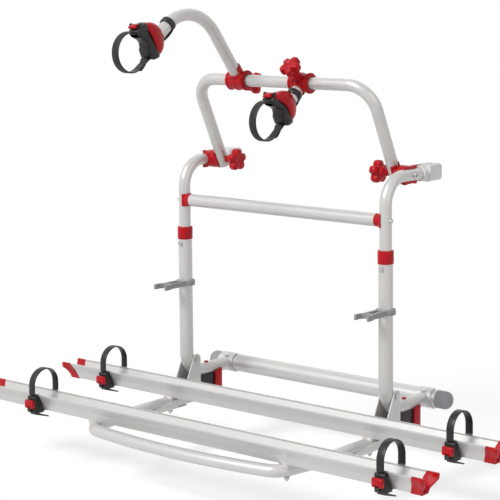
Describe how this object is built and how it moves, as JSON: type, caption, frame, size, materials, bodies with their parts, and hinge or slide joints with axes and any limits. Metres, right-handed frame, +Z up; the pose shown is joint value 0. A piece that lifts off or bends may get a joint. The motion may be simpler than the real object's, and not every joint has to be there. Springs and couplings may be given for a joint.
{
  "type": "motorhome bicycle carrier",
  "caption": "Wall-mounted motorhome bicycle carrier: tubular frame, fold-up platform with wheel rails and straps, tilting top hoop with two frame clamp arms.",
  "frame": {"origin": "centre of the four wall bolts, on the face that meets the vehicle wall", "axes": "+X along the wheel rails to the right seen from behind the vehicle, +Y towards the vehicle wall, +Z up"},
  "size_m": [1.3, 0.5953, 0.9859],
  "materials": {
    "aluminium": "satin anodised",
    "red_plastic": "semi-gloss moulded",
    "black_plastic": "satin moulded",
    "grey_plastic": "fine grained",
    "bracket_white": "powder coat",
    "steel": "zinc plated"
  },
  "bodies": {
    "upper_frame": {"upper_post_left": "aluminium", "upper_post_right": "aluminium", "cross_tube": "aluminium", "cross_tube_ends": "red_plastic", "frame_clamp_left": "red_plastic", "frame_clamp_right": "red_plastic", "wall_bracket_left": "bracket_white", "wall_bracket_right": "bracket_white", "upper_frame_bolts": "steel"},
    "lower_frame": {"lower_post_left": "aluminium", "lower_post_right": "aluminium", "lower_crossbar": "aluminium", "crossbar_caps": "grey_plastic", "post_collars": "red_plastic", "lower_frame_screws": "steel", "fork_clip_left": "grey_plastic", "fork_clip_right": "grey_plastic", "hinge_pins": "steel", "latch_bodies": "black_plastic", "latch_buttons": "red_plastic"},
    "latch_left": {"latch_lever_left": "red_plastic"},
    "latch_right": {"latch_lever_right": "red_plastic"},
    "platform": {"hinge_bracket_left": "aluminium", "hinge_bracket_right": "aluminium", "platform_hoop": "aluminium", "rail_front": "aluminium", "rail_rear": "aluminium", "rail_end_caps": "red_plastic", "rail_bolts": "steel", "rail_saddles": "aluminium"},
    "strap_front_left": {"wheel_strap_front_left": "black_plastic"},
    "lever_front_left": {"strap_lever_front_left": "red_plastic"},
    "strap_front_right": {"wheel_strap_front_right": "black_plastic"},
    "lever_front_right": {"strap_lever_front_right": "red_plastic"},
    "strap_rear_left": {"wheel_strap_rear_left": "black_plastic"},
    "lever_rear_left": {"strap_lever_rear_left": "red_plastic"},
    "strap_rear_right": {"wheel_strap_rear_right": "black_plastic"},
    "lever_rear_right": {"strap_lever_rear_right": "red_plastic"},
    "hoop": {"top_hoop": "aluminium", "hoop_leg_ends": "red_plastic"},
    "tilt_knob_left": {"tilt_knob_left": "red_plastic"},
    "tilt_knob_right": {"tilt_knob_right": "red_plastic"},
    "long_slider": {"long_arm_liner": "black_plastic"},
    "long_arm": {"long_arm_clamp": "red_plastic", "long_arm_tube": "aluminium", "long_arm_collar": "black_plastic", "long_arm_shell": "red_plastic", "long_arm_jaw": "black_plastic", "long_arm_strap": "black_plastic"},
    "long_lever": {"long_arm_lever": "red_plastic"},
    "long_knob": {"long_arm_knob": "red_plastic"},
    "short_slider": {"short_arm_liner": "black_plastic"},
    "short_arm": {"short_arm_clamp": "red_plastic", "short_arm_tube": "aluminium", "short_arm_collar": "black_plastic", "short_arm_shell": "red_plastic", "short_arm_jaw": "black_plastic", "short_arm_strap": "black_plastic"},
    "short_lever": {"short_arm_lever": "red_plastic"},
    "short_knob": {"short_arm_knob": "red_plastic"}
  },
  "joints": [
    {"name": "height_adjust", "type": "slide", "parent": "upper_frame", "child": "lower_frame", "axis": [0, 0, 1], "range_m": [-0.12, 0.04]},
    {"name": "platform_fold", "type": "hinge", "parent": "lower_frame", "child": "platform", "pos_m": [0, -0.173, -0.489], "axis": [-1, 0, 0], "range_deg": [0, 90]},
    {"name": "latch_left_turn", "type": "hinge", "parent": "lower_frame", "child": "latch_left", "pos_m": [-0.302, -0.104, -0.556], "axis": [1, 0, 0], "range_deg": [0, 25], "stiffness_Nm_per_rad": 0.05, "springref_deg": -17.19},
    {"name": "latch_right_turn", "type": "hinge", "parent": "lower_frame", "child": "latch_right", "pos_m": [0.302, -0.104, -0.556], "axis": [1, 0, 0], "range_deg": [0, 25], "stiffness_Nm_per_rad": 0.05, "springref_deg": -17.19},
    {"name": "strap_front_left_slide", "type": "slide", "parent": "platform", "child": "strap_front_left", "axis": [1, 0, 0], "range_m": [-0.04, 0.04]},
    {"name": "strap_front_left_lever", "type": "hinge", "parent": "strap_front_left", "child": "lever_front_left", "pos_m": [-0.458, -0.5599, -0.562], "axis": [1, 0, 0], "range_deg": [0, 70], "stiffness_Nm_per_rad": 0.02, "springref_deg": -17.19},
    {"name": "strap_front_right_slide", "type": "slide", "parent": "platform", "child": "strap_front_right", "axis": [1, 0, 0], "range_m": [-0.04, 0.04]},
    {"name": "strap_front_right_lever", "type": "hinge", "parent": "strap_front_right", "child": "lever_front_right", "pos_m": [0.553, -0.5599, -0.562], "axis": [1, 0, 0], "range_deg": [0, 70], "stiffness_Nm_per_rad": 0.02, "springref_deg": -17.19},
    {"name": "strap_rear_left_slide", "type": "slide", "parent": "platform", "child": "strap_rear_left", "axis": [1, 0, 0], "range_m": [-0.04, 0.04]},
    {"name": "strap_rear_left_lever", "type": "hinge", "parent": "strap_rear_left", "child": "lever_rear_left", "pos_m": [-0.494, -0.2939, -0.562], "axis": [1, 0, 0], "range_deg": [0, 70], "stiffness_Nm_per_rad": 0.02, "springref_deg": -17.19},
    {"name": "strap_rear_right_slide", "type": "slide", "parent": "platform", "child": "strap_rear_right", "axis": [1, 0, 0], "range_m": [-0.04, 0.04]},
    {"name": "strap_rear_right_lever", "type": "hinge", "parent": "strap_rear_right", "child": "lever_rear_right", "pos_m": [0.54, -0.2939, -0.562], "axis": [1, 0, 0], "range_deg": [0, 70], "stiffness_Nm_per_rad": 0.02, "springref_deg": -17.19},
    {"name": "hoop_tilt", "type": "hinge", "parent": "upper_frame", "child": "hoop", "pos_m": [0, -0.095, 0], "axis": [-1, 0, 0], "range_deg": [-40, 25]},
    {"name": "tilt_knob_left_turn", "type": "hinge", "parent": "upper_frame", "child": "tilt_knob_left", "pos_m": [-0.228, -0.095, 0], "axis": [1, 0, 0], "continuous": true},
    {"name": "tilt_knob_right_turn", "type": "hinge", "parent": "upper_frame", "child": "tilt_knob_right", "pos_m": [0.228, -0.095, 0], "axis": [1, 0, 0], "continuous": true},
    {"name": "long_arm_slide", "type": "slide", "parent": "hoop", "child": "long_slider", "axis": [1, 0, 0], "range_m": [-0.04, 0.06]},
    {"name": "long_arm_swing", "type": "hinge", "parent": "long_slider", "child": "long_arm", "pos_m": [-0.121, -0.1886, 0.20351], "axis": [-1, 0, 0], "range_deg": [-40, 30]},
    {"name": "long_knob_turn", "type": "hinge", "parent": "long_arm", "child": "long_knob", "pos_m": [-0.121, -0.13936, 0.19482], "axis": [0, 0.9848, -0.1736], "continuous": true},
    {"name": "long_lever_turn", "type": "hinge", "parent": "long_arm", "child": "long_lever", "pos_m": [-0.121, -0.53068, 0.33975], "axis": [-1, 0, 0], "range_deg": [0, 60], "stiffness_Nm_per_rad": 0.02, "springref_deg": -17.19},
    {"name": "short_arm_slide", "type": "slide", "parent": "hoop", "child": "short_slider", "axis": [1, 0, 0], "range_m": [-0.06, 0.08]},
    {"name": "short_arm_swing", "type": "hinge", "parent": "short_slider", "child": "short_arm", "pos_m": [0.068, -0.1886, 0.20351], "axis": [-1, 0, 0], "range_deg": [-20, 60]},
    {"name": "short_knob_turn", "type": "hinge", "parent": "short_arm", "child": "short_knob", "pos_m": [0.068, -0.22517, 0.23761], "axis": [0, -0.7314, 0.682], "continuous": true},
    {"name": "short_lever_turn", "type": "hinge", "parent": "short_arm", "child": "short_lever", "pos_m": [0.068, -0.3039, 0.18455], "axis": [-1, 0, 0], "range_deg": [0, 60], "stiffness_Nm_per_rad": 0.02, "springref_deg": -17.19}
  ]
}
